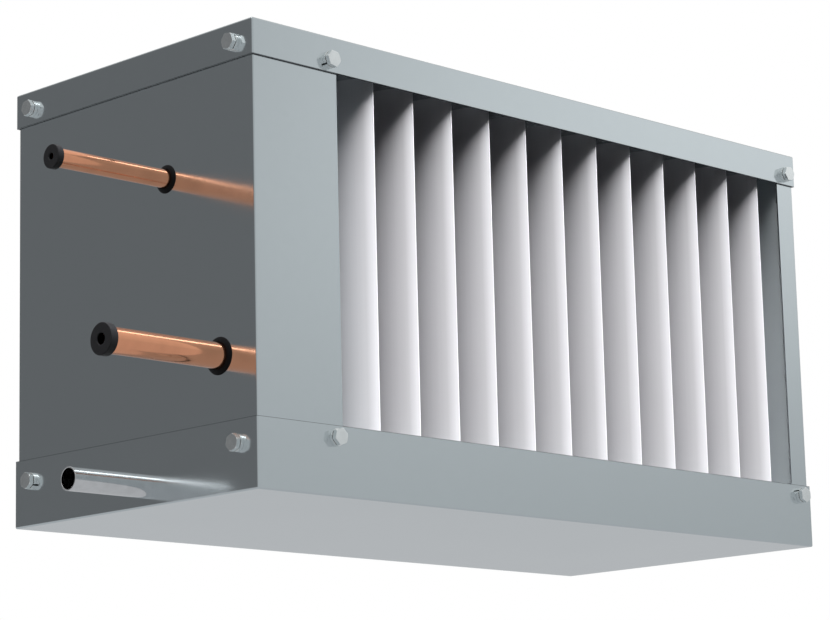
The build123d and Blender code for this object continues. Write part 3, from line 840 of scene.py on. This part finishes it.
def bolt_sites(washer_node, outward):
    """Places of the four fasteners of a side, from the corners of its washers' box."""
    low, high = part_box(washer_node)
    radius = bpy.context.scene.coil_sizes.washer_radius
    along = Vector((1, 0, 0)) if outward.y else Vector((0, 1, 0))
    if outward.y:
        ends, plane = (low.x + radius, high.x - radius), high.y
    else:
        ends, plane = (low.y + radius, high.y - radius), (high.x if outward.x < 0 else low.x)
    places = []
    for z in (low.z + radius, high.z - radius):
        for end in ends:
            places.append(Vector((end, plane, z)) if outward.y else Vector((plane, end, z)))
    across = outward.cross(along)
    turn = Matrix((along, across, outward)).transposed().to_4x4()
    return [Matrix.Translation(place) @ turn for place in places]


def fasten(master, sites, step, name, node):
    """Copies of one fastener at each site, each turned on by another step."""
    copies = []
    for index, site in enumerate(sites, 1):
        copy = duplicate(master)
        copy.matrix_world = site @ Matrix.Rotation(step * index, 4, "Z")
        settle_place()
        copies.append(copy)
    return hand_over(join_pieces(copies), name, CASING, "bolt_zinc", node)


# The studio
def ramp(nodes, links, value, low, high):
    """Smooth rise from 0 to 1 between two values."""
    node = nodes.new("ShaderNodeMapRange")
    node.interpolation_type = "SMOOTHSTEP"
    node.inputs["From Min"].default_value = low
    node.inputs["From Max"].default_value = high
    links.new(value, node.inputs["Value"])
    return node.outputs["Result"]


def arithmetic(nodes, links, operation, first, second):
    """One sum, product or the like of two values."""
    node = nodes.new("ShaderNodeMath")
    node.operation = operation
    links.new(first, node.inputs[0])
    links.new(second, node.inputs[1])
    return node.outputs["Value"]


def blend(nodes, links, factor, first, second):
    """Blend two colours, each a constant or an output."""
    node = nodes.new("ShaderNodeMix")
    node.data_type = "RGBA"
    links.new(factor, node.inputs["Factor"])
    for name, colour in (("A", first), ("B", second)):
        if isinstance(colour, tuple):
            node.inputs[name].default_value = colour
        else:
            links.new(colour, node.inputs[name])
    return node.outputs["Result"]


def lay_floor(drop, colour):
    """Pale floor that fades into the background away from the coil."""
    bpy.ops.object.select_all(action="DESELECT")
    bpy.ops.mesh.primitive_plane_add(size=2 * FLOOR_GONE, location=(0, 0, -drop))
    floor = bpy.context.object
    settle_place()
    floor.name = "studio_floor"
    finish = Finish("Studio floor", colour, 0.0, 0.8)
    finish.shader.inputs["Emission Color"].default_value = (1.0, 1.0, 1.0, 1.0)
    finish.shader.inputs["Emission Strength"].default_value = FLOOR_GLOW
    mottle = finish.effect(bpy.data.node_groups["Soft mottling"], Scale=0.6)
    finish.tint(mottle, scaled(colour, 0.99), scaled(colour, 1.01))
    place = finish.nodes.new("ShaderNodeTexCoord")
    flat = finish.nodes.new("ShaderNodeVectorMath")
    flat.operation = "MULTIPLY"
    flat.inputs[1].default_value = (1.0, 1.0, 0.0)
    finish.links.new(place.outputs["Object"], flat.inputs[0])
    reach = finish.nodes.new("ShaderNodeVectorMath")
    reach.operation = "LENGTH"
    finish.links.new(flat.outputs["Vector"], reach.inputs[0])
    solid = ramp(finish.nodes, finish.links, reach.outputs["Value"], FLOOR_GONE, FLOOR_CLEAR)
    paths = finish.nodes.new("ShaderNodeLightPath")
    seen = arithmetic(finish.nodes, finish.links, "MULTIPLY", solid, paths.outputs["Is Camera Ray"])
    finish.links.new(seen, finish.shader.inputs["Alpha"])
    floor.data.materials.append(finish.material)


def light_world(scene):
    """Soft surroundings: a bright card at the front right, dim behind, white where the camera sees them."""
    world = bpy.data.worlds.new("Studio")
    scene.world = world
    world.use_nodes = True
    nodes = world.node_tree.nodes
    links = world.node_tree.links
    place = nodes.new("ShaderNodeTexCoord")
    split = nodes.new("ShaderNodeSeparateXYZ")
    links.new(place.outputs["Generated"], split.inputs["Vector"])
    depth = ramp(nodes, links, split.outputs["Y"], WORLD_FRONT, WORLD_REAR)
    card_x = ramp(nodes, links, split.outputs["X"], CARD_LEFT, CARD_RIGHT)
    card_z = ramp(nodes, links, split.outputs["Z"], CARD_LOW, CARD_HIGH)
    card = arithmetic(nodes, links, "MULTIPLY", card_x, card_z)
    height = ramp(nodes, links, split.outputs["Z"], CARD_HIGH, 1.0)
    front = blend(nodes, links, card, WORLD_BRIGHT, WORLD_CARD)
    around = blend(nodes, links, depth, front, WORLD_DIM)
    above = blend(nodes, links, height, around, WORLD_TOP)
    ground = ramp(nodes, links, split.outputs["Z"], 0.0, -0.02)
    shown = blend(nodes, links, ground, above, WORLD_GROUND)
    paths = nodes.new("ShaderNodeLightPath")
    lit = blend(nodes, links, paths.outputs["Is Glossy Ray"], WORLD_FILL, shown)
    seen = arithmetic(nodes, links, "MAXIMUM", paths.outputs["Is Camera Ray"], paths.outputs["Is Transmission Ray"])
    seen_white = blend(nodes, links, seen, lit, (1.0, 1.0, 1.0, 1.0))
    links.new(seen_white, nodes["Background"].inputs["Color"])
    nodes["Background"].inputs["Strength"].default_value = 1.0


def hang_sun(name, elevation, turn, angle, power):
    """Soft even light on everything but mirrored metal; turn is to the right of the front."""
    level = math.cos(elevation)
    towards = Vector((level * math.sin(turn), -level * math.cos(turn), math.sin(elevation)))
    bpy.ops.object.select_all(action="DESELECT")
    bpy.ops.object.light_add(type="SUN", location=towards * 2)
    lamp = bpy.context.object
    lamp.name = name
    lamp.data.energy = power
    lamp.data.angle = angle
    lamp.visible_glossy = False
    lamp.rotation_euler = (-towards).to_track_quat("-Z", "Y").to_euler()


def hang_streak():
    """Narrow lamp whose reflection runs along the pipes."""
    bpy.ops.object.select_all(action="DESELECT")
    bpy.ops.object.light_add(type="AREA", location=STREAK_PLACE)
    lamp = bpy.context.object
    lamp.name = "streak"
    lamp.data.shape = "RECTANGLE"
    lamp.data.size, lamp.data.size_y = STREAK_SIZE
    lamp.data.energy = STREAK_POWER
    lamp.visible_camera = False
    lamp.visible_diffuse = False
    lamp.rotation_euler = (Vector(STREAK_TARGET) - Vector(STREAK_PLACE)).to_track_quat("-Z", "Y").to_euler()


def set_camera(scene):
    """Camera at the photograph's angle: from the front left and from below."""
    bpy.ops.object.camera_add(location=CAMERA_PLACE)
    camera = bpy.context.object
    axes = Matrix((CAMERA_RIGHT, -Vector(CAMERA_DOWN), -Vector(CAMERA_AHEAD))).transposed()
    camera.matrix_world = Matrix.Translation(CAMERA_PLACE) @ axes.to_4x4()
    camera.data.sensor_width = 36
    camera.data.lens = CAMERA_LENS
    scene.camera = camera


# Operators: one for each piece or group of like pieces
class COIL_OT_finishes(bpy.types.Operator):
    """Make the finishes and give each CAD node the one of its slot"""

    bl_idname = "coil.finishes"
    bl_label = "Finishes"

    def execute(self, context):
        materials = make_finishes(context.scene.coil_colours)
        for slot, material in materials.items():
            FINISH_NAMES[slot] = material.name
        for entry in frame["record"]["subparts"]:
            node = frame["nodes"][entry["node"]]
            # Level sheets take the darker copy with painted shade
            level = entry["node"].endswith(("_top", "_bottom"))
            node.data.materials.clear()
            node.data.materials.append(materials["level_sheet" if level else entry["material_slot"]])
        return {"FINISHED"}


class COIL_OT_blades(bpy.types.Operator):
    """Model one blade of the drop eliminator and copy it to the others' places"""

    bl_idname = "coil.blades"
    bl_label = "Drop eliminator blades"

    def execute(self, context):
        nodes = sorted(name for name in frame["nodes"] if name.startswith("eliminator_blade_"))
        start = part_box(nodes[0])[0]
        master = curved_blade(context.scene.coil_sizes)
        for node in nodes:
            blade = duplicate(master)
            blade.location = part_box(node)[0] - start
            settle_place()
            hand_over(blade, node.replace("eliminator_", ""), CASING, "blade_plastic", node)
        bpy.data.objects.remove(master)
        return {"FINISHED"}


class COIL_OT_fins(bpy.types.Operator):
    """Model the coil's fins at their real pitch"""

    bl_idname = "coil.fins"
    bl_label = "Coil fins"

    def execute(self, context):
        hand_over(rippled_fins(context.scene.coil_sizes), "coil_fins", CASING, "fin_aluminium", "fin_pack")
        return {"FINISHED"}


class COIL_OT_pipes(bpy.types.Operator):
    """Turn the suction, liquid and drain pipes"""

    bl_idname = "coil.pipes"
    bl_label = "Pipes"

    def execute(self, context):
        sizes = context.scene.coil_sizes
        turn_pipe("suction_pipe", "suction_connection", sizes.pipe_wall, "copper", 0.0003)
        turn_pipe("liquid_pipe", "liquid_connection", sizes.pipe_wall, "copper", 0.0003)
        turn_pipe("drain_pipe", "drain_connection", sizes.drain_wall, "drain_steel", 0.0004)
        return {"FINISHED"}


class COIL_OT_caps(bpy.types.Operator):
    """Turn the rubber caps on the ends of the copper pipes"""

    bl_idname = "coil.caps"
    bl_label = "Pipe caps"

    def execute(self, context):
        sizes = context.scene.coil_sizes
        wall = sizes.cap_end_wall
        turn_cap("suction_cap", "suction_pipe_cap", "suction_cap_body", "suction_pipe", wall, sizes.suction_cap_hole)
        turn_cap("liquid_cap", "liquid_pipe_cap", "liquid_cap_body", "liquid_pipe", wall, sizes.liquid_cap_hole)
        return {"FINISHED"}


class COIL_OT_grommets(bpy.types.Operator):
    """Turn the rubber grommets round the copper pipes"""

    bl_idname = "coil.grommets"
    bl_label = "Grommets"

    def execute(self, context):
        sizes = context.scene.coil_sizes
        for side in ("suction", "liquid"):
            turn_grommet(f"{side}_grommet", f"{side}_pipe_grommet", f"{side}_pipe", sizes.grommet_rim, sizes.grommet_neck)
        return {"FINISHED"}


class COIL_OT_bolts(bpy.types.Operator):
    """Model one bolt and one spring washer and set them on the front, left and right side"""

    bl_idname = "coil.bolts"
    bl_label = "Bolts and washers"

    def execute(self, context):
        sizes = context.scene.coil_sizes
        bolt = hexagon_bolt(sizes)
        washer = spring_washer(sizes)
        for side, outward in (("front", (0, -1, 0)), ("left", (-1, 0, 0)), ("right", (1, 0, 0))):
            sites = bolt_sites(f"{side}_washers", Vector(outward))
            fasten(bolt, sites, sizes.bolt_turn, f"{side}_hexagon_bolts", f"{side}_bolts")
            fasten(washer, sites, sizes.washer_turn, f"{side}_spring_washers", f"{side}_washers")
        bpy.data.objects.remove(bolt)
        bpy.data.objects.remove(washer)
        return {"FINISHED"}


class COIL_OT_stage(bpy.types.Operator):
    """Set up the floor, the world, the lamps and the camera"""

    bl_idname = "coil.stage"
    bl_label = "Studio"

    def execute(self, context):
        lay_floor(context.scene.coil_sizes.floor_drop, tuple(context.scene.coil_colours.floor))
        light_world(context.scene)
        hang_sun("key", SUN_ELEVATION, SUN_TURN, SUN_ANGLE, SUN_POWER)
        hang_sun("rear_fill", FILL_ELEVATION, FILL_TURN, FILL_ANGLE, FILL_POWER)
        hang_streak()
        set_camera(context.scene)
        context.scene.view_settings.view_transform = "Standard"
        return {"FINISHED"}


class COIL_PT_pieces(bpy.types.Panel):
    """Sidebar panel with the sizes, the colours and the pieces in order"""

    bl_label = "Duct cooling coil"
    bl_idname = "COIL_PT_pieces"
    bl_space_type = "VIEW_3D"
    bl_region_type = "UI"
    bl_category = "Coil"

    def draw(self, context):
        for title, group in (("Sizes", context.scene.coil_sizes), ("Colours", context.scene.coil_colours)):
            box = self.layout.box()
            box.label(text=title)
            for name in group.__annotations__:
                box.prop(group, name)
        for operator in OPERATORS:
            self.layout.operator(operator.bl_idname)


OPERATORS = (
    COIL_OT_finishes,
    COIL_OT_blades,
    COIL_OT_fins,
    COIL_OT_pipes,
    COIL_OT_caps,
    COIL_OT_grommets,
    COIL_OT_bolts,
    COIL_OT_stage,
)
CLASSES = (CoilSizes, CoilColours, *OPERATORS, COIL_PT_pieces)


def register():
    for cls in CLASSES:
        bpy.utils.register_class(cls)
    bpy.types.Scene.coil_sizes = bpy.props.PointerProperty(type=CoilSizes)
    bpy.types.Scene.coil_colours = bpy.props.PointerProperty(type=CoilColours)


def unregister():
    del bpy.types.Scene.coil_colours
    del bpy.types.Scene.coil_sizes
    for cls in reversed(CLASSES):
        bpy.utils.unregister_class(cls)


def main():
    """Build everything in order."""
    register()
    bpy.ops.object.select_all(action="DESELECT")
    for operator in OPERATORS:
        group, call = operator.bl_idname.split(".")
        getattr(getattr(bpy.ops, group), call)()


if __name__ == "__main__":
    main()
